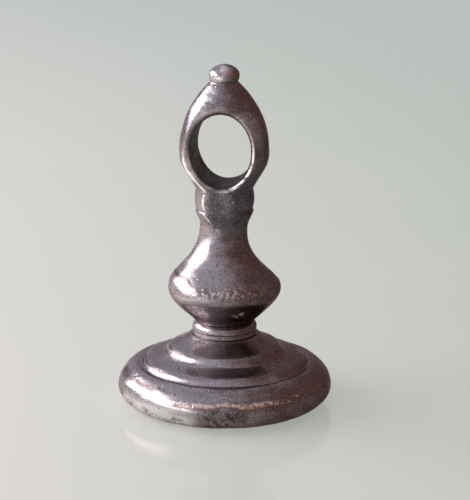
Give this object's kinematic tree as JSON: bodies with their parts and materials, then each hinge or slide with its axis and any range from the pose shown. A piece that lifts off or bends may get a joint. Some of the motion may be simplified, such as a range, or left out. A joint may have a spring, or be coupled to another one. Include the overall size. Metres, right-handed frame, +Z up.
{
  "type": "wax seal stamp",
  "caption": "Small tarnished silver seal with a stepped round foot, baluster stem and pierced loop handle, for pressing its engraved face into sealing wax.",
  "frame": {"origin": "centre of the engraved face, on the surface that the seal stands on", "axes": "+Z up the stem, -Y towards the front of the loop, so the loop's eye runs along Y"},
  "size_m": [0.022, 0.022, 0.0354],
  "materials": {
    "tarnished_silver": "cast and turned silver with a dark uneven tarnish, worn brighter on edges and high spots"
  },
  "bodies": {
    "root": {"seal_matrix": "tarnished_silver", "stepped_foot": "tarnished_silver", "stem_collar": "tarnished_silver", "baluster_lower": "tarnished_silver", "baluster_upper": "tarnished_silver", "neck_collar": "tarnished_silver", "suspension_loop": "tarnished_silver", "finial_bead": "tarnished_silver"}
  },
  "joints": []
}
